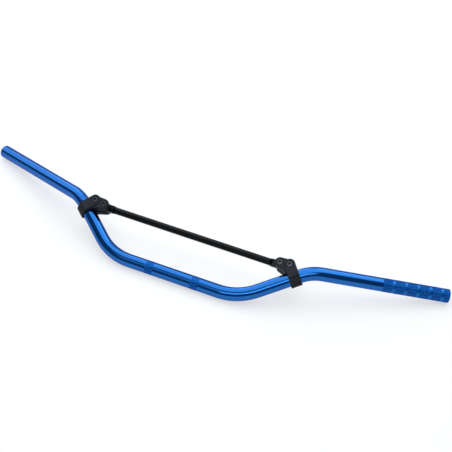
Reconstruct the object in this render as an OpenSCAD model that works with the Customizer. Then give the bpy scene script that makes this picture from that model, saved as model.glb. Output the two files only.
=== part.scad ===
// Braced motocross handlebar, lying as it rests on a table.
// The origin is the middle of the tube's clamping section, +X points to the rider's left grip,
// +Y to the rider and +Z up. Lengths are in millimetres and angles in degrees.

/* [Bar tube] */
// Outside diameter of the bar tube
bar_d = 22.2; // [20:0.1:28.6]
// Wall of the bar tube
bar_wall = 4; // [2:0.1:6]
// Length of the straight middle section
centre_l = 158.6; // [120:0.1:220]
// Angle of each lower bend
rise_bend = 40; // [30:0.5:50]
// Centreline radius of each lower bend
rise_bend_r = 92.5; // [60:0.5:120]
// Length of each straight riser
riser_l = 70; // [70:1:110]
// Centreline radius of each upper bend
grip_bend_r = 70; // [50:1:120]
// How far each grip climbs above level, seen with the risers upright
grip_climb = 15.9; // [0:0.1:24]
// How far each grip sweeps back towards the rider
grip_sweep = 20.5; // [12:0.1:35]
// Length of each straight grip section
grip_l = 207.5; // [150:0.5:260]
// How much thinner the tube's wall is drawn in the bends, on each side
bend_thinning = 0.03; // [0.02:0.01:0.1]
// Chamfer on the tube's end edges
end_chamfer = 0.6; // [0.2:0.1:1]

/* [Knurling] */
// How deep the knurled bands are cut
knurl_depth = 0.12; // [0.05:0.01:0.3]
// Distance of each middle band's centre from the bar's centre
clamp_knurl_at = 40.2; // [20:0.1:50]
// Width of each middle band
clamp_knurl_w = 13.5; // [6:0.1:20]
// Length of the knurled stretch of the left grip
grip_knurl_l = 110.5; // [40:0.5:140]
// Distance from one grip band to the next
grip_knurl_pitch = 20; // [16:0.1:30]
// Width of one grip band
grip_knurl_w = 15.6; // [8:0.1:15.8]

/* [Crossbar] */
// Outside diameter of the crossbar tube
crossbar_d = 11.5; // [10:0.1:14]
// Wall of the crossbar tube
crossbar_wall = 2; // [1:0.1:3]
// Thickness of the crossbar's pressed end
tongue_t = 5; // [4:0.1:7]
// Width of the crossbar's pressed end
tongue_w = 12.4; // [11.5:0.1:14]
// Length of the pressed end, from its screw hole to where the round tube starts to flatten
tongue_l = 14.5; // [12:0.1:25]
// Length over which the round tube is pressed flat
press_l = 5.5; // [3:0.1:15]
// Width of the slit that is left between the pressed walls
slit_t = 0.7; // [0.4:0.1:1.2]

/* [Clamps] */
// Distance of the clamp's middle from the top of the lower bend, along the riser
clamp_at = 60.9; // [20:0.1:60.9]
// Width of the clamp's strap, along the riser
strap_w = 18.2; // [17:0.1:18.2]
// Thickness of the strap round the tube
strap_t = 3; // [2.5:0.1:4]
// How far the plate under the clamp screw's head stands above the strap
plate_rise = 3.4; // [0.5:0.1:4]
// How far that plate runs on past the tube's axis
plate_run = 3.6; // [0:0.1:5]
// How far the clamp screw lies beyond the strap's middle, along the riser
clamp_screw_on = 0.3; // [0:0.1:0.5]
// Distance of the clamp screw from the tube's axis
clamp_screw_off = 18.4; // [18.4:0.1:22]
// How far the crossbar screw lies below the strap's middle, along the riser
crossbar_screw_back = 13.2; // [13:0.1:20]
// Distance of the crossbar screw from the tube's axis
crossbar_screw_off = 28.1; // [27:0.1:34]
// Radius of the lug's rounded corners
lug_r = 8.3; // [7:0.1:8.4]
// Thickness of the front lug, beside the crossbar's pressed end
lug_t = 12.9; // [12:0.1:13.4]
// Thickness of the rear lug
rear_lug_t = 10; // [8:0.1:12]
// Chamfer round the mouth of each screw's recess
mouth_cut = 0.4; // [0.2:0.1:0.6]
// Gap between the two halves of a clamp
split_gap = 1.2; // [0.8:0.1:2]
// Chamfer on the clamp's outer edges
clamp_chamfer = 0.9; // [0.3:0.1:1.1]
// How far the hooked edge stands out from the strap
hook_out = 0.3; // [0.2:0.1:2]
// Height of each half's hooked edge
hook_h = 2.6; // [2.6:0.1:6]
// Width of the key that locks the two hooked edges together
key_w = 1.4; // [1:0.1:1.8]
// How far that key reaches into the other half
key_reach = 1.2; // [0.6:0.1:2]

/* [Screws and nuts] */
// Thread diameter of all the screws
screw_d = 6; // [5:0.1:6]
// Head diameter
head_d = 10; // [9:0.1:10]
// Head height
head_h = 6; // [5:0.1:6]
// Width across the flats of the hexagon socket
socket_af = 5; // [4:0.1:5]
// Depth of the hexagon socket
socket_depth = 3; // [2:0.1:3.5]
// Length of a clamp screw under its head
clamp_screw_l = 30; // [29:0.5:32]
// Length of a crossbar screw under its head
crossbar_screw_l = 22; // [22:0.5:25]
// Width across the flats of the nuts
nut_af = 10; // [9:0.1:10]
// Height of the nuts
nut_h = 5; // [4:0.1:5]

/* [Fits] */
// Gap between the strap and the bar tube, on the radius
saddle_gap = 0.05; // [0.02:0.01:0.2]
// Gap between a lug and the crossbar's pressed end, on each side
tongue_gap = 0.1; // [0.05:0.01:0.3]
// Gap round a screw's shank, on the radius
shank_gap = 0.2; // [0.1:0.05:0.3]
// Gap round a screw's head, on the radius
head_gap = 0.3; // [0.1:0.05:0.4]
// How far a screw's head or a nut lies below the face round it
head_sunk = 0.2; // [0:0.1:0.5]
// Gap round a nut's flats
nut_gap = 0.1; // [0.05:0.05:0.2]
// Gap between a nut's bore and its screw, on the radius
thread_gap = 0.05; // [0.02:0.01:0.1]
// Gap round the key of a hooked edge
key_gap = 0.15; // [0.1:0.05:0.3]

/* [Hidden] */
$fn = 96;
// Facets of the round ends that a hull joins
press_facets = 48;
lug_facets = 64;
// How far a cut runs on past the face that it opens
over = 1;
// The shortest knurled band that is still cut at the grip's end
shortest_band = 1;
// How far the round end of a plate stands out past the plate's straight sides
end_bulge = 0.3;
// How far a straight stretch runs on into the thinner wall of a bend
run_on = 0.4;
// Chamfers on a screw's tip and on its head
screw_tip_cut = 0.6;
screw_head_cut = 0.8;
// Height of the chamfer on a nut's corners, and how far it runs in past the flats
nut_cut_h = 0.6;
nut_cut_in = 0.2;

blue = [0.03, 0.22, 0.62];
black = [0.05, 0.05, 0.055];
charcoal = [0.14, 0.14, 0.15];
steel = [0.35, 0.35, 0.37];

bar_r = bar_d / 2;
bore_r = bar_r - bar_wall;
knurl_r = bar_r - knurl_depth;

// The bar's path, with the risers upright: X sideways, Y to the rider, Z up the risers
riser_dir = [cos(rise_bend), 0, sin(rise_bend)];
riser_up = [-sin(rise_bend), 0, cos(rise_bend)];
back = [0, 1, 0];
grip_dir = [
    cos(grip_climb) * cos(grip_sweep),
    cos(grip_climb) * sin(grip_sweep),
    sin(grip_climb)
];
riser_start = [centre_l / 2 + rise_bend_r * sin(rise_bend), 0, rise_bend_r * (1 - cos(rise_bend))];
riser_end = riser_start + riser_l * riser_dir;

// The upper bend turns the riser's direction into the grip's, about an axis square to both
grip_bend = acos(grip_dir * riser_dir);
turn_back = grip_dir * back;
turn_up = grip_dir * riser_up;
grip_roll = atan2(-turn_back, turn_up);
grip_turn = (turn_back * back + turn_up * riser_up) / sin(grip_bend);
grip_start = riser_end + grip_bend_r * (sin(grip_bend) * riser_dir + (1 - cos(grip_bend)) * grip_turn);
tip = grip_start + grip_l * grip_dir;

// The bar leans until the middle section and both grips' ends touch the table
lean_to_axis = atan2(tip[2], tip[1]);
tip_slope = grip_dir[2] * cos(lean_to_axis) - grip_dir[1] * sin(lean_to_axis);
tip_reach = norm([tip[1], tip[2]]);
lean = lean_to_axis + asin(bar_r * (1 - sqrt(1 - tip_slope * tip_slope)) / tip_reach);

// The clamp's middle, and the crossbar's height and length between its screws
clamp_mid = riser_start + clamp_at * riser_dir;
crossbar_end = clamp_mid - crossbar_screw_back * riser_dir + crossbar_screw_off * riser_up;
tongue_r = tongue_w / 2;

// Heights in a clamp, measured from the crossbar's middle plane
saddle_r = bar_r + saddle_gap;
strap_r = saddle_r + strap_t;
plate_face = strap_r + plate_rise;
lug_floor = tongue_t / 2 + tongue_gap;
lug_face = lug_floor + lug_t;
rear_lug_face = lug_floor + rear_lug_t;
split = split_gap / 2;
head_room = head_h + head_sunk;
nut_room = nut_h + head_sunk;
key_at = (saddle_r + strap_r + hook_out) / 2;

// The places of the two screws in a clamp: along the riser, then away from the tube
clamp_screw_at = [clamp_screw_on, clamp_screw_off];
crossbar_screw_at = [-crossbar_screw_back, crossbar_screw_off];

// Leans the whole bar from upright risers to its place on the table
module leaned() {
    rotate([-lean, 0, 0])
        children();
}

// The rider's left side as drawn, and the right side as its mirror image
module on_side(left) {
    mirror([left ? 0 : 1, 0, 0])
        children();
}

// A clamp's own axes: X along the riser, Y from the tube towards the crossbar, Z to the front
module in_clamp() {
    translate(clamp_mid)
        rotate([0, -rise_bend, 0])
            rotate([90, 0, 0])
                children();
}

// The end of a lower bend, with X along the riser
module after_rise() {
    translate(riser_start)
        rotate([0, -rise_bend, 0])
            children();
}

// The start of a grip, with X along the grip
module at_grip() {
    after_rise()
        translate([riser_l, 0, 0])
            rotate([grip_roll, 0, 0])
                translate([grip_bend_r * sin(grip_bend), 0, grip_bend_r * (1 - cos(grip_bend))])
                    rotate([0, -grip_bend, 0])
                        children();
}

// A bent stretch of tube that starts along X and turns towards Z
module tube_bend(radius, angle) {
    translate([0, 0, radius])
        rotate([0, 90, 0])
            rotate([90, 0, 0])
                rotate_extrude(angle = angle)
                    translate([radius, 0])
                        difference() {
                            circle(r = bar_r - bend_thinning);
                            circle(r = bore_r + bend_thinning);
                        }
}

// A straight stretch of tube along X, which runs on into the bend at its start. bands lists
// where each knurled band starts and ends, and end_cut is the chamfer at the far end, or 0
// where a bend follows
module tube_straight(length, bands = [], end_cut = 0) {
    outside = [
        for (band = bands)
            each [[bar_r, band[0]], [knurl_r, band[0]], [knurl_r, band[1]], [bar_r, band[1]]]
    ];
    far_end = end_cut > 0
        ? [
            [bar_r, length - end_cut],
            [bar_r - end_cut, length],
            [bore_r + end_cut, length],
            [bore_r, length - end_cut]
        ]
        : [[bar_r, length + run_on], [bore_r, length + run_on]];
    rotate([0, 90, 0])
        rotate_extrude()
            polygon(concat([[bore_r, -run_on], [bar_r, -run_on]], outside, far_end));
}

// The knurled bands of the left grip, from the innermost to the one at the grip's end
last_knurl = grip_l - 2 * end_chamfer;
grip_bands = [
    for (start = [grip_l - grip_knurl_l : grip_knurl_pitch : last_knurl - shortest_band])
        [start, min(start + grip_knurl_w, last_knurl)]
];
centre_bands = [
    for (middle = [-clamp_knurl_at, clamp_knurl_at])
        [centre_l / 2 + middle - clamp_knurl_w / 2, centre_l / 2 + middle + clamp_knurl_w / 2]
];

module handlebar_tube() {
    color(blue)
        leaned()
            union() {
                translate([-centre_l / 2, 0, 0])
                    tube_straight(centre_l, centre_bands);
                for (left = [true, false])
                    on_side(left) {
                        translate([centre_l / 2, 0, 0])
                            tube_bend(rise_bend_r, rise_bend);
                        after_rise()
                            tube_straight(riser_l);
                        after_rise()
                            translate([riser_l, 0, 0])
                                rotate([grip_roll, 0, 0])
                                    tube_bend(grip_bend_r, grip_bend);
                        at_grip()
                            tube_straight(grip_l, left ? grip_bands : [], end_chamfer);
                    }
            }
}

// One pressed end of the crossbar, with its screw hole at the origin and the tube towards -X.
// It is drawn once for the outside and once, smaller, for the hollow inside
module pressed_end(width, thickness, diameter) {
    rotate([90, 0, 0])
        linear_extrude(thickness, center = true) {
            circle(d = width);
            translate([-tongue_l, -width / 2])
                square([tongue_l, width]);
        }
    hull() {
        translate([-tongue_l + run_on / 2, 0, 0])
            cube([run_on, thickness, width], center = true);
        translate([-tongue_l - press_l - run_on, 0, 0])
            rotate([0, 90, 0])
                cylinder(h = run_on, d = diameter, $fn = press_facets);
    }
}

module crossbar() {
    half_l = crossbar_end[0];
    round_l = 2 * (half_l - tongue_l - press_l);
    hollow_d = crossbar_d - 2 * crossbar_wall;
    slit_w = tongue_w - 2 * crossbar_wall;
    hole_d = screw_d + 2 * shank_gap;
    color(black)
        leaned()
            translate([0, 0, crossbar_end[2]])
                difference() {
                    union() {
                        rotate([0, 90, 0])
                            cylinder(h = round_l, d = crossbar_d, center = true);
                        for (side = [0, 1])
                            mirror([side, 0, 0])
                                translate([half_l, 0, 0])
                                    pressed_end(tongue_w, tongue_t, crossbar_d);
                    }
                    rotate([0, 90, 0])
                        cylinder(h = round_l, d = hollow_d, center = true);
                    for (side = [0, 1])
                        mirror([side, 0, 0])
                            translate([half_l, 0, 0]) {
                                pressed_end(slit_w, slit_t, hollow_d);
                                translate([0, -slit_t / 2, -slit_w / 2])
                                    cube([tongue_r + over, slit_t, slit_w]);
                                rotate([90, 0, 0])
                                    cylinder(h = tongue_t + over, d = hole_d, center = true);
                            }
                }
}

// A disc with a chamfered top edge, from one height to another
module chamfered_disc(radius, from, to) {
    translate([0, 0, from])
        cylinder(r = radius, h = to - from - clamp_chamfer);
    translate([0, 0, to - clamp_chamfer])
        cylinder(r1 = radius, r2 = radius - clamp_chamfer, h = clamp_chamfer);
}

// A strap's section, chamfered on both outer edges, from the tube's axis to its outer face
function strap_section(face) = [
    [0, -strap_w / 2],
    [face - clamp_chamfer, -strap_w / 2],
    [face, -strap_w / 2 + clamp_chamfer],
    [face, strap_w / 2 - clamp_chamfer],
    [face - clamp_chamfer, strap_w / 2],
    [0, strap_w / 2]
];

// The strap round the tube
module strap() {
    rotate([0, 90, 0])
        rotate_extrude()
            polygon(strap_section(strap_r));
}

// The thicker plate that the clamp screw goes through, flat and with a round end
module plate() {
    end_r = strap_w / 2 - clamp_screw_on + end_bulge;
    intersection() {
        translate([0, clamp_screw_off + end_r + over, 0])
            rotate([90, -90, 0])
                linear_extrude(clamp_screw_off + end_r + plate_run + over)
                    polygon(strap_section(plate_face));
        union() {
            translate([-strap_w, -plate_run, 0])
                cube([2 * strap_w, clamp_screw_off + plate_run, plate_face + over]);
            translate(clamp_screw_at)
                chamfered_disc(end_r, 0, plate_face);
        }
    }
}

// The lug: a plate with three equal corners, which joins the strap beside the tube
module lug(face) {
    hull()
        for (corner = [crossbar_screw_at, [0, lug_r], clamp_screw_at])
            translate(corner)
                chamfered_disc(lug_r, lug_floor, face, $fn = lug_facets);
}

// The hooked edge on the side away from the crossbar
module hook() {
    translate([-strap_w / 2, -strap_r - hook_out, 0])
        cube([strap_w, hook_out + strap_t, hook_h]);
}

// What both halves of a clamp share, cut back to its side of the split, with its lug's outer face
// at the given height
module clamp_half(face) {
    difference() {
        union() {
            strap();
            plate();
            lug(face);
            hook();
        }
        rotate([0, 90, 0])
            cylinder(r = saddle_r, h = 3 * strap_w, center = true);
        translate([-3 * strap_w, -3 * strap_w, split - 6 * strap_w])
            cube(6 * strap_w);
        for (place = [clamp_screw_at, crossbar_screw_at])
            translate(place)
                cylinder(r = screw_d / 2 + shank_gap, h = 3 * plate_face, center = true);
    }
}

// A round recess for a screw's head, open at the given face, with a chamfered mouth
module head_recess(face) {
    recess_r = head_d / 2 + head_gap;
    translate([0, 0, face - head_room])
        rotate_extrude()
            polygon([
                [0, 0],
                [recess_r, 0],
                [recess_r, head_room - mouth_cut],
                [recess_r + mouth_cut + over, head_room + over],
                [0, head_room + over]
            ]);
}

// A hexagon prism across flats, with a flat towards the tube
module hexagon(across, height) {
    rotate([0, 0, 30])
        cylinder(d = across / cos(30), h = height, $fn = 6);
}

module nut_recess(face) {
    translate([0, 0, face - nut_room])
        hexagon(nut_af + 2 * nut_gap, nut_room + over);
}

module clamp_front(left) {
    color(charcoal)
        leaned()
            on_side(left)
                in_clamp()
                    difference() {
                        clamp_half(lug_face);
                        translate(clamp_screw_at)
                            head_recess(plate_face);
                        translate(crossbar_screw_at)
                            head_recess(lug_face);
                        translate([-strap_w, -key_at - key_w / 2 - key_gap, 0])
                            cube([2 * strap_w, key_w + 2 * key_gap, split + key_reach + key_gap]);
                    }
}

module clamp_rear(left) {
    color(charcoal)
        leaned()
            on_side(left)
                in_clamp() {
                    mirror([0, 0, 1])
                        difference() {
                            clamp_half(rear_lug_face);
                            translate(clamp_screw_at)
                                nut_recess(plate_face);
                            translate(crossbar_screw_at)
                                nut_recess(rear_lug_face);
                        }
                    translate([-strap_w / 2, -key_at - key_w / 2, -split])
                        cube([strap_w, key_w, split_gap + key_reach]);
                }
}

// A socket head screw along -Z with the underside of its head at the origin
module screw(length) {
    difference() {
        rotate_extrude()
            polygon([
                [0, -length],
                [screw_d / 2 - screw_tip_cut, -length],
                [screw_d / 2, -length + screw_tip_cut],
                [screw_d / 2, 0],
                [head_d / 2, 0],
                [head_d / 2, head_h - screw_head_cut],
                [head_d / 2 - screw_head_cut, head_h],
                [0, head_h]
            ]);
        translate([0, 0, head_h - socket_depth])
            hexagon(socket_af, socket_depth + over);
    }
}

// A hexagon nut whose outer face is at the origin and whose body runs towards +Z
module nut() {
    corner_r = nut_af / 2 / cos(30) + over;
    difference() {
        intersection() {
            hexagon(nut_af, nut_h);
            rotate_extrude()
                polygon([
                    [0, 0],
                    [nut_af / 2 - nut_cut_in, 0],
                    [corner_r, nut_cut_h],
                    [corner_r, nut_h],
                    [0, nut_h]
                ]);
        }
        translate([0, 0, -over])
            cylinder(r = screw_d / 2 + thread_gap, h = nut_h + 2 * over);
    }
}

// A screw or a nut in its place in a clamp
module fastener_at(left, place, height) {
    color(steel)
        leaned()
            on_side(left)
                in_clamp()
                    translate([place[0], place[1], height])
                        children();
}

module clamp_screw(left) {
    fastener_at(left, clamp_screw_at, plate_face - head_room)
        screw(clamp_screw_l);
}

module crossbar_screw(left) {
    fastener_at(left, crossbar_screw_at, lug_face - head_room)
        screw(crossbar_screw_l);
}

module clamp_nut(left) {
    fastener_at(left, clamp_screw_at, head_sunk - plate_face)
        nut();
}

module crossbar_nut(left) {
    fastener_at(left, crossbar_screw_at, head_sunk - rear_lug_face)
        nut();
}

handlebar_tube();
crossbar();
clamp_front(true);  // left_clamp_front
clamp_rear(true);  // left_clamp_rear
clamp_front(false);  // right_clamp_front
clamp_rear(false);  // right_clamp_rear
clamp_screw(true);  // left_clamp_screw
clamp_screw(false);  // right_clamp_screw
crossbar_screw(true);  // left_crossbar_screw
crossbar_screw(false);  // right_crossbar_screw
clamp_nut(true);  // left_clamp_nut
clamp_nut(false);  // right_clamp_nut
crossbar_nut(true);  // left_crossbar_nut
crossbar_nut(false);  // right_crossbar_nut
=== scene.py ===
"""Looks of the motocross handlebar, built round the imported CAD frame.

The bar tube is drawn again as one smooth mesh with real knurling, on the same path and sizes as
the CAD part. The crossbar, the clamps, the screws and the nuts keep their CAD shapes.
"""

import math

import bpy
import numpy as np
from mathutils import Matrix, Vector


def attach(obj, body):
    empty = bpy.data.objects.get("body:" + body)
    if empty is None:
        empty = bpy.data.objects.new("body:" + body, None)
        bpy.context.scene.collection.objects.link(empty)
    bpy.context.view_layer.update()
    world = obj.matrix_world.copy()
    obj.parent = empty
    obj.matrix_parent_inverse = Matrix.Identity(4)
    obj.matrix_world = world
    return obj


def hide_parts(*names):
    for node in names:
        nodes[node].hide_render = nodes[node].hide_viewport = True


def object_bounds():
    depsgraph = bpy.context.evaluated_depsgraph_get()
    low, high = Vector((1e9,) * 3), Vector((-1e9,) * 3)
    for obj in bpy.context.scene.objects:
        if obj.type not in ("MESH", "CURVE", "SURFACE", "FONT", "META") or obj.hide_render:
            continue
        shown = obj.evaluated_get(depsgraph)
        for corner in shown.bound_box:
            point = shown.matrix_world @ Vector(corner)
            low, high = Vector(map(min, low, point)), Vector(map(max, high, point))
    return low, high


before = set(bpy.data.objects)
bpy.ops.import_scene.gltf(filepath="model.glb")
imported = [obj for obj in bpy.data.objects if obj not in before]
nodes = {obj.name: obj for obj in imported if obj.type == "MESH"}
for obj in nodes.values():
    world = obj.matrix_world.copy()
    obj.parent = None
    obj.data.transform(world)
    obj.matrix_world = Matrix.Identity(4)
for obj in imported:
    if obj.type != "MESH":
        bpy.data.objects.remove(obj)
cad_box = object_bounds()

# Sizes of the bar tube in metres and radians, the same as in the CAD part
BAR_R = 0.0111
BORE_R = 0.0071
CENTRE_L = 0.1586
RISE_BEND = math.radians(40)
RISE_BEND_R = 0.0925
RISER_L = 0.070
GRIP_BEND_R = 0.070
GRIP_CLIMB = math.radians(15.9)
GRIP_SWEEP = math.radians(20.5)
GRIP_L = 0.2075
END_CHAMFER = 0.0006
CLAMP_KNURL_AT = 0.0402
CLAMP_KNURL_W = 0.0135
GRIP_KNURL_L = 0.1105
GRIP_KNURL_PITCH = 0.020
GRIP_KNURL_W = 0.0156

# Knurling: how many teeth go round, how deep they are, and how wide a band's smooth lead-in is
TEETH = 60
TOOTH_DEPTH = 0.00012
LEAD_IN = 0.0003
ROUND = 2 * TEETH

# How fast the drawing streaks change along the tube, next to how fast they change round it
STREAK = 2.7

# How near to a knurled band a plain row of vertices may lie, and how short the last band may be
CLEAR = 0.0008
SHORTEST_BAND = 0.001

# Rows of vertices: about how far apart they lie on a straight, and how many a bend has
ROW_STEP = 0.02
RISE_BEND_ROWS = 28
GRIP_BEND_ROWS = 26

# Material slots of the bar tube
SMOOTH_SLOT, KNURL_SLOT, BORE_SLOT, RING_SLOT = range(4)


def unit(v):
    return v / np.linalg.norm(v)


# The path of the tube's axis, first with the risers upright as the CAD part has it
RISER = np.array([math.cos(RISE_BEND), 0, math.sin(RISE_BEND)])
RISER_UP = np.array([-math.sin(RISE_BEND), 0, math.cos(RISE_BEND)])
BACK = np.array([0.0, 1.0, 0.0])
GRIP = np.array([
    math.cos(GRIP_CLIMB) * math.cos(GRIP_SWEEP),
    math.cos(GRIP_CLIMB) * math.sin(GRIP_SWEEP),
    math.sin(GRIP_CLIMB),
])
RISER_START = np.array([
    CENTRE_L / 2 + RISE_BEND_R * math.sin(RISE_BEND), 0, RISE_BEND_R * (1 - math.cos(RISE_BEND))
])
RISER_END = RISER_START + RISER_L * RISER
GRIP_BEND = math.acos(GRIP @ RISER)
GRIP_TURN = unit((GRIP @ BACK) * BACK + (GRIP @ RISER_UP) * RISER_UP)
GRIP_START = RISER_END + GRIP_BEND_R * (
    math.sin(GRIP_BEND) * RISER + (1 - math.cos(GRIP_BEND)) * GRIP_TURN)
TIP = GRIP_START + GRIP_L * GRIP

# The forward lean that lays the middle section and both tips on one floor
LEAN_TO_AXIS = math.atan2(TIP[2], TIP[1])
TIP_SLOPE = GRIP[2] * math.cos(LEAN_TO_AXIS) - GRIP[1] * math.sin(LEAN_TO_AXIS)
LEAN = LEAN_TO_AXIS + math.asin(
    BAR_R * (1 - math.sqrt(1 - TIP_SLOPE ** 2)) / math.hypot(TIP[1], TIP[2]))


def stations_on_straight(start, direction, length, bands):
    """Rows of vertices along a straight stretch: place, direction and kind. A knurled row is even
    or odd, and a smooth one is plain, or ring where it lies between two bands."""
    between = (bands[0][1], bands[-1][0]) if bands else (length, length)

    def smooth(d):
        return (d, "ring" if between[0] <= d <= between[1] else "plain")

    rows = [(0.0, "plain"), (length, "plain")]
    for d in np.linspace(0, length, max(3, int(length / ROW_STEP)))[1:-1]:
        if not any(a - CLEAR < d < b + CLEAR for a, b in bands):
            rows.append(smooth(float(d)))
    step = math.pi * BAR_R / TEETH
    for a, b in bands:
        count = max(2, int(round((b - a - 2 * LEAD_IN) / step)))
        rows += [smooth(a), smooth(b)]
        for i, d in enumerate(np.linspace(a + LEAD_IN, b - LEAD_IN, count + 1)):
            rows.append((float(d), "odd" if i % 2 else "even"))
    rows.sort(key=lambda r: r[0])
    return [(start + d * direction, direction, kind) for d, kind in rows]


def half_path(side):
    """Rows from the bar's middle to the tip of the rider's left grip, before leaning.
    side is 1 for the rider's left and -1 for the right, which is returned mirrored."""
    half = CENTRE_L / 2
    middle = [(CLAMP_KNURL_AT - CLAMP_KNURL_W / 2, CLAMP_KNURL_AT + CLAMP_KNURL_W / 2)]
    rows = stations_on_straight(np.zeros(3), np.array([1.0, 0, 0]), half, middle)
    rows = rows[:-1]
    for t in np.linspace(0, RISE_BEND, RISE_BEND_ROWS):
        at = np.array([half + RISE_BEND_R * math.sin(t), 0, RISE_BEND_R * (1 - math.cos(t))])
        rows.append((at, np.array([math.cos(t), 0, math.sin(t)]), "plain"))
    rows += stations_on_straight(RISER_START, RISER, RISER_L, [])[1:-1]
    for t in np.linspace(0, GRIP_BEND, GRIP_BEND_ROWS):
        at = RISER_END + GRIP_BEND_R * (math.sin(t) * RISER + (1 - math.cos(t)) * GRIP_TURN)
        rows.append((at, math.cos(t) * RISER + math.sin(t) * GRIP_TURN, "plain"))
    bands = []
    if side > 0:
        at = GRIP_L - GRIP_KNURL_L
        end = GRIP_L - 2 * END_CHAMFER
        while at < end - SHORTEST_BAND:
            bands.append((at, min(at + GRIP_KNURL_W, end)))
            at += GRIP_KNURL_PITCH
    last = GRIP_L - END_CHAMFER
    rows += stations_on_straight(GRIP_START, GRIP, last, bands)[1:]
    flip = np.array([side, 1, 1])
    return [(at * flip, direction * flip, kind) for at, direction, kind in rows]


def whole_path():
    """Rows from the tip of the rider's right grip to the tip of the left one."""
    left = half_path(1)
    right = half_path(-1)
    return [(at, -direction, kind) for at, direction, kind in reversed(right[1:])] + left


def lean(p):
    """The bar's own place or direction p, turned forward by LEAN."""
    c, s = math.cos(LEAN), math.sin(LEAN)
    return np.array([p[0], p[1] * c + p[2] * s, -p[1] * s + p[2] * c])


def frames_along(path):
    """A steady pair of cross directions at each row, so that nothing twists along the tube."""
    out = []
    up = lean(np.array([0.0, 0.0, 1.0]))
    for at, direction, kind in path:
        direction = unit(lean(direction))
        up = unit(up - (up @ direction) * direction)
        out.append((lean(at), direction, np.cross(direction, up), up, kind))
    return out


def bar_mesh():
    """The whole tube as one closed mesh, with its knurling, chamfers and bore."""
    rows = frames_along(whole_path())
    angles = 2 * math.pi * np.arange(ROUND) / ROUND
    verts, faces, smooth, slots, streaks = [], [], [], [], []
    gone = 0.0

    def ring(at, side, up, radii):
        base = len(verts)
        for a, r in zip(angles, radii):
            verts.append(tuple(at + r * (math.cos(a) * side + math.sin(a) * up)))
            streaks.extend((math.cos(a), math.sin(a), gone * STREAK))
        return base

    even = np.where(np.arange(ROUND) % 2 == 0, BAR_R, BAR_R - TOOTH_DEPTH)
    odd = np.where(np.arange(ROUND) % 2 == 1, BAR_R, BAR_R - TOOTH_DEPTH)
    plain = np.full(ROUND, BAR_R)
    first, last = rows[0], rows[-1]

    # The end face, its chamfer and the bore's mouth, at the start of the tube
    def end_rings(row, out):
        at, direction, side, up, kind = row
        face = at + out * END_CHAMFER * direction
        return [
            ring(face, side, up, np.full(ROUND, BAR_R - END_CHAMFER)),
            ring(face, side, up, np.full(ROUND, BORE_R + END_CHAMFER)),
            ring(at, side, up, np.full(ROUND, BORE_R)),
        ]

    outer = []
    before = rows[0][0]
    for at, direction, side, up, kind in rows:
        gone += float(np.linalg.norm(at - before))
        before = at
        radii = {"even": even, "odd": odd}.get(kind, plain)
        outer.append((ring(at, side, up, radii), kind))
    inner = []
    picks = [i for i, r in enumerate(rows) if r[4] in ("plain", "ring")]
    for i in picks[::2] + ([picks[-1]] if picks[-1] not in picks[::2] else []):
        at, direction, side, up, kind = rows[i]
        inner.append(ring(at, side, up, np.full(ROUND, BORE_R)))
    start = end_rings(first, -1)
    finish = end_rings(last, 1)

    def bridge(a, b, kind_a="plain", kind_b="plain", slot=SMOOTH_SLOT, flat=False):
        knurled = kind_a in ("even", "odd") and kind_b in ("even", "odd")
        if kind_a == kind_b == "ring":
            slot = RING_SLOT
        for i in range(ROUND):
            j = (i + 1) % ROUND
            quad = [a + i, a + j, b + j, b + i]
            if knurled:
                # Each quad is split along its valley, so that the teeth are true pyramids
                low_first = (i % 2 == 1) if kind_a == "even" else (i % 2 == 0)
                halves = ((0, 1, 2), (0, 2, 3)) if low_first else ((0, 1, 3), (1, 2, 3))
                for half in halves:
                    faces.append([quad[corner] for corner in half])
                    smooth.append(False)
                    slots.append(KNURL_SLOT)
            else:
                faces.append(quad)
                smooth.append(not flat)
                slots.append(slot)

    for (a, ka), (b, kb) in zip(outer[:-1], outer[1:]):
        bridge(a, b, ka, kb)
    bridge(start[0], outer[0][0], flat=True)
    bridge(start[1], start[0], slot=BORE_SLOT, flat=True)
    bridge(inner[0], start[1], slot=BORE_SLOT, flat=True)
    for a, b in zip(inner[:-1], inner[1:]):
        bridge(b, a, slot=BORE_SLOT)
    bridge(outer[-1][0], finish[0], flat=True)
    bridge(finish[0], finish[1], slot=BORE_SLOT, flat=True)
    bridge(finish[1], inner[-1], slot=BORE_SLOT, flat=True)
    me = bpy.data.meshes.new("bar_tube")
    me.from_pydata(verts, [], faces)
    me.polygons.foreach_set("use_smooth", smooth)
    me.polygons.foreach_set("material_index", slots)
    me.attributes.new("streak", "FLOAT_VECTOR", "POINT").data.foreach_set("vector", streaks)
    me.update(calc_edges=True)

    # The edges of the end faces, of the chamfers and of the knurled bands are sharp
    sharp = {outer[0][0], outer[-1][0], inner[0], inner[-1], *start[:2], *finish[:2]}
    for (a, ka), (b, kb) in zip(outer[:-1], outer[1:]):
        if (ka in ("even", "odd")) != (kb in ("even", "odd")):
            sharp |= {a, b}
    ends = np.empty(2 * len(me.edges), dtype=np.int32)
    me.edges.foreach_get("vertices", ends)
    rings = ends.reshape(-1, 2) // ROUND * ROUND
    in_ring = rings[:, 0] == rings[:, 1]
    me.edges.foreach_set("use_edge_sharp", in_ring & np.isin(rings[:, 0], list(sharp)))
    obj = bpy.data.objects.new("bar_tube", me)
    bpy.context.scene.collection.objects.link(obj)
    return obj


# Materials
def new_material(name):
    mat = bpy.data.materials.new(name)
    mat.use_nodes = True
    tree = mat.node_tree
    return mat, tree, tree.nodes["Principled BSDF"]


def node(tree, kind, **values):
    """A new node with values for its inputs or, by their own names, its other settings."""
    made = tree.nodes.new(kind)
    for key, value in values.items():
        if key in made.inputs:
            made.inputs[key].default_value = value
        else:
            setattr(made, key, value)
    return made


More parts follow.
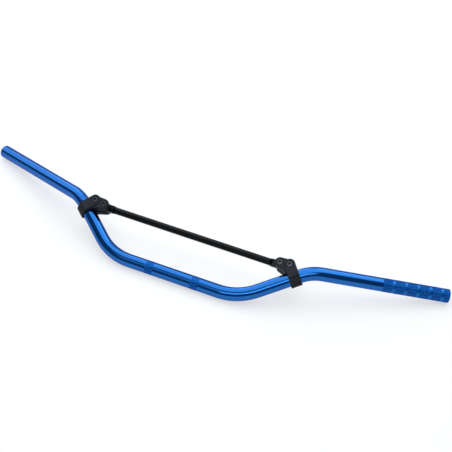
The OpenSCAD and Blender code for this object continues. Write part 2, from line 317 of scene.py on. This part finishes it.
def noise(tree, scale, detail=4.0):
    """Noise on the object's own coordinates."""
    coords = tree.nodes.new("ShaderNodeTexCoord")
    made = node(tree, "ShaderNodeTexNoise", Scale=scale, Detail=detail, Roughness=0.6)
    tree.links.new(coords.outputs["Object"], made.inputs["Vector"])
    return made


def ramp(tree, source, low, high, start=0.3, end=0.7):
    """Turns a value between start and end into a number or a colour between low and high."""
    if isinstance(low, float):
        made = tree.nodes.new("ShaderNodeMapRange")
        made.inputs["From Min"].default_value = start
        made.inputs["From Max"].default_value = end
        made.inputs["To Min"].default_value = low
        made.inputs["To Max"].default_value = high
        tree.links.new(source, made.inputs["Value"])
        return made.outputs["Result"]
    made = tree.nodes.new("ShaderNodeValToRGB")
    made.color_ramp.elements[0].position = start
    made.color_ramp.elements[1].position = end
    made.color_ramp.elements[0].color = (*low, 1)
    made.color_ramp.elements[1].color = (*high, 1)
    tree.links.new(source, made.inputs["Fac"])
    return made.outputs["Color"]


def bumped(tree, shader, source, strength, distance):
    made = node(tree, "ShaderNodeBump", Strength=strength, Distance=distance)
    tree.links.new(source, made.inputs["Height"])
    tree.links.new(made.outputs["Normal"], shader.inputs["Normal"])
    return made


# What the anodised metal reflects at a grazing angle
TINT = (0.18, 0.42, 0.80)


def anodised(name, deep, light, rough, coat, coat_rough=0.05):
    """Dyed and sealed aluminium, with faint streaks along the tube from its drawing."""
    mat, tree, shader = new_material(name)
    shader.inputs["Metallic"].default_value = 1.0
    shader.inputs["Coat Weight"].default_value = coat
    shader.inputs["Coat Roughness"].default_value = coat_rough
    shader.inputs["Specular Tint"].default_value = (*TINT, 1)
    place = node(tree, "ShaderNodeAttribute", attribute_name="streak")
    streak = node(tree, "ShaderNodeTexNoise", Scale=6.0, Detail=4.0, Roughness=0.6)
    tree.links.new(place.outputs["Vector"], streak.inputs["Vector"])
    tree.links.new(ramp(tree, streak.outputs["Fac"], deep, light), shader.inputs["Base Color"])
    roughness = ramp(tree, streak.outputs["Fac"], rough * 0.8, rough * 1.25)
    tree.links.new(roughness, shader.inputs["Roughness"])
    return mat


bar_blue = anodised("bar_blue", (0.0010, 0.104, 0.385), (0.0015, 0.120, 0.44), 0.12, 0.42)
knurl_blue = anodised("knurl_blue", (0.0010, 0.068, 0.29), (0.0020, 0.084, 0.35), 0.26, 0.15, 0.2)
bore_blue = anodised("bore_blue", (0.0040, 0.070, 0.30), (0.0060, 0.090, 0.38), 0.35, 0.0)
ring_blue = anodised("ring_blue", (0.0010, 0.112, 0.42), (0.0015, 0.128, 0.47), 0.36, 0.3, 0.15)


def black_finish(name, dark, light, rough, ior=1.5, metallic=0.0, edge=0.0004, deep=None):
    """A black finish with fine grain and slightly worn-in edges. deep is what is left of its colour
    in sockets, corners and recesses, as painted shade from ambient occlusion."""
    mat, tree, shader = new_material(name)
    shader.inputs["Metallic"].default_value = metallic
    shader.inputs["IOR"].default_value = ior
    clouds = noise(tree, 120.0, 5.0)
    colour = ramp(tree, clouds.outputs["Fac"], dark, light)
    # Painted shade: where deep is given, the colour is darkened in sockets, corners and recesses by
    # ambient occlusion
    if deep is not None:
        ao_for_painted_shade = node(tree, "ShaderNodeAmbientOcclusion", Distance=0.003)
        ao_for_painted_shade.samples = 8
        share = ramp(tree, ao_for_painted_shade.outputs["AO"], deep, 1.0, 0.45, 0.75)
        mixed = node(tree, "ShaderNodeVectorMath", operation="SCALE")
        tree.links.new(colour, mixed.inputs[0])
        tree.links.new(share, mixed.inputs["Scale"])
        colour = mixed.outputs[0]
    tree.links.new(colour, shader.inputs["Base Color"])
    grain = noise(tree, 700.0)
    roughness = ramp(tree, grain.outputs["Fac"], rough * 0.85, rough * 1.2)
    tree.links.new(roughness, shader.inputs["Roughness"])
    bump = bumped(tree, shader, grain.outputs["Fac"], 0.05, 0.0002)
    bevel = node(tree, "ShaderNodeBevel", Radius=edge)
    bevel.samples = 4
    tree.links.new(bevel.outputs["Normal"], bump.inputs["Normal"])
    return mat


clamp_black = black_finish(
    "clamp_black", (0.0265, 0.028, 0.033), (0.037, 0.039, 0.0455), 0.36, ior=1.09)
crossbar_black = black_finish(
    "crossbar_black", (0.0014, 0.0013, 0.0019), (0.0024, 0.0022, 0.0032), 0.22, ior=1.26)
# The screws' sockets and the recesses round their heads get painted shade, down to 5 % of their
# colour
screw_black = black_finish(
    "screw_black", (0.068, 0.068, 0.073), (0.09, 0.09, 0.097), 0.24,
    metallic=1.0, edge=0.0002, deep=0.05)

bar = bar_mesh()
for mat in (bar_blue, knurl_blue, bore_blue, ring_blue):
    bar.data.materials.append(mat)
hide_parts("handlebar_tube")
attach(bar, "root")


def finish_node(name, mat):
    obj = nodes[name]
    if not obj.material_slots:
        obj.data.materials.append(mat)
    for s in obj.material_slots:
        s.material = mat


for name in nodes:
    if name == "crossbar":
        finish_node(name, crossbar_black)
    elif name.endswith(("front", "rear")):
        finish_node(name, clamp_black)
    elif name.endswith(("screw", "nut")):
        finish_node(name, screw_black)
    elif name == "handlebar_tube":
        finish_node(name, bar_blue)

# Floor and backdrop
FLOOR_HALF = 12.0
FLOOR_GREY = 0.42
GLOW_NEAR, GLOW_FAR = 0.57, 0.95
GLOW_FROM, GLOW_TO = 1.2, 4.0
floor_mesh = bpy.data.meshes.new("floor")
floor_mesh.from_pydata(
    [(x * FLOOR_HALF, y * FLOOR_HALF, cad_box[0].z) for x, y in ((-1, -1), (1, -1), (1, 1), (-1, 1))],
    [], [(0, 1, 2, 3)])
floor = bpy.data.objects.new("floor", floor_mesh)
bpy.context.scene.collection.objects.link(floor)


def seen(tree):
    """1 for rays from the camera and for mirrored and refracted ones, 0 for the light itself."""
    path = tree.nodes.new("ShaderNodeLightPath")
    first = node(tree, "ShaderNodeMath", operation="MAXIMUM")
    second = node(tree, "ShaderNodeMath", operation="MAXIMUM")
    tree.links.new(path.outputs["Is Camera Ray"], first.inputs[0])
    tree.links.new(path.outputs["Is Glossy Ray"], first.inputs[1])
    tree.links.new(first.outputs[0], second.inputs[0])
    tree.links.new(path.outputs["Is Transmission Ray"], second.inputs[1])
    return second.outputs[0]


mat = bpy.data.materials.new("floor")
mat.use_nodes = True
tree = mat.node_tree
tree.nodes.clear()
out = tree.nodes.new("ShaderNodeOutputMaterial")
diffuse = node(tree, "ShaderNodeBsdfDiffuse", Color=(FLOOR_GREY, FLOOR_GREY, FLOOR_GREY, 1))
glow = node(tree, "ShaderNodeEmission", Color=(1, 1, 1, 1))
place = tree.nodes.new("ShaderNodeTexCoord")
away = node(tree, "ShaderNodeVectorMath", operation="LENGTH")
tree.links.new(place.outputs["Object"], away.inputs[0])
lift = node(tree, "ShaderNodeMath", operation="MULTIPLY")
tree.links.new(seen(tree), lift.inputs[0])
# Near the object the lamps light the floor, and further off it glows by itself
glow_share = ramp(tree, away.outputs["Value"], GLOW_NEAR, GLOW_FAR, GLOW_FROM, GLOW_TO)
tree.links.new(glow_share, lift.inputs[1])
tree.links.new(lift.outputs[0], glow.inputs["Strength"])
both = tree.nodes.new("ShaderNodeAddShader")
tree.links.new(diffuse.outputs[0], both.inputs[0])
tree.links.new(glow.outputs[0], both.inputs[1])
tree.links.new(both.outputs[0], out.inputs["Surface"])
floor_mesh.materials.append(mat)

# The studio round it is plain and dim, and the lamps are large soft boxes
STUDIO_COLOUR = (0.55, 0.80, 1.0, 1)
STUDIO_LEVEL = 0.22
world = bpy.data.worlds.new("studio")
bpy.context.scene.world = world
world.use_nodes = True
background = world.node_tree.nodes["Background"]
background.inputs["Color"].default_value = STUDIO_COLOUR
background.inputs["Strength"].default_value = STUDIO_LEVEL


def softbox(name, azimuth, elevation, distance, size, brightness):
    """A rectangular lamp that faces the object. Azimuth is seen from above, 0 to the front and
    90 to the viewer's right, in degrees, and brightness is that of its face."""
    lamp = bpy.data.lights.new(name, "AREA")
    lamp.shape = "RECTANGLE"
    lamp.size, lamp.size_y = size
    lamp.energy = brightness * math.pi ** 2 * size[0] * size[1] / 4
    obj = bpy.data.objects.new(name, lamp)
    bpy.context.scene.collection.objects.link(obj)
    a, e = math.radians(azimuth), math.radians(elevation)
    towards = Vector((math.sin(a) * math.cos(e), -math.cos(a) * math.cos(e), math.sin(e)))
    obj.location = distance * towards
    obj.rotation_mode = "QUATERNION"
    obj.rotation_quaternion = towards.to_track_quat("Z", "Y")


softbox("overhead", 150, 86, 3.3, (3.4, 2.8), 2.1)
softbox("left", -119, 40, 3.4, (3.8, 2.7), 1.9)
softbox("back", 190, 36, 3.5, (4.6, 2.5), 1.03)
softbox("key", 158, 52, 3.0, (1.8, 1.3), 2.45)
softbox("front", 0, 52, 3.3, (3.6, 1.8), 0.65)
softbox("strip", 14, 43, 3.2, (2.8, 0.58), 4.1)

# The camera, at the photograph's viewing angle
CAMERA_PLACE = (0.6856, -1.4548, 1.4224)
camera_data = bpy.data.cameras.new("camera")
camera_data.sensor_width = 36.0
camera_data.lens = 106.79
camera_data.clip_start = 0.05
camera_data.clip_end = 60
camera = bpy.data.objects.new("camera", camera_data)
bpy.context.scene.collection.objects.link(camera)
right = Vector((0.90815, 0.41599, 0.04717))
down = Vector((0.29707, -0.56093, -0.77273))
ahead = Vector((-0.29499, 0.71576, -0.63298))
turn = Matrix((right, -down, -ahead)).transposed().to_4x4()
camera.matrix_world = Matrix.Translation(CAMERA_PLACE) @ turn
bpy.context.scene.camera = camera
bpy.context.scene.view_settings.view_transform = "Standard"
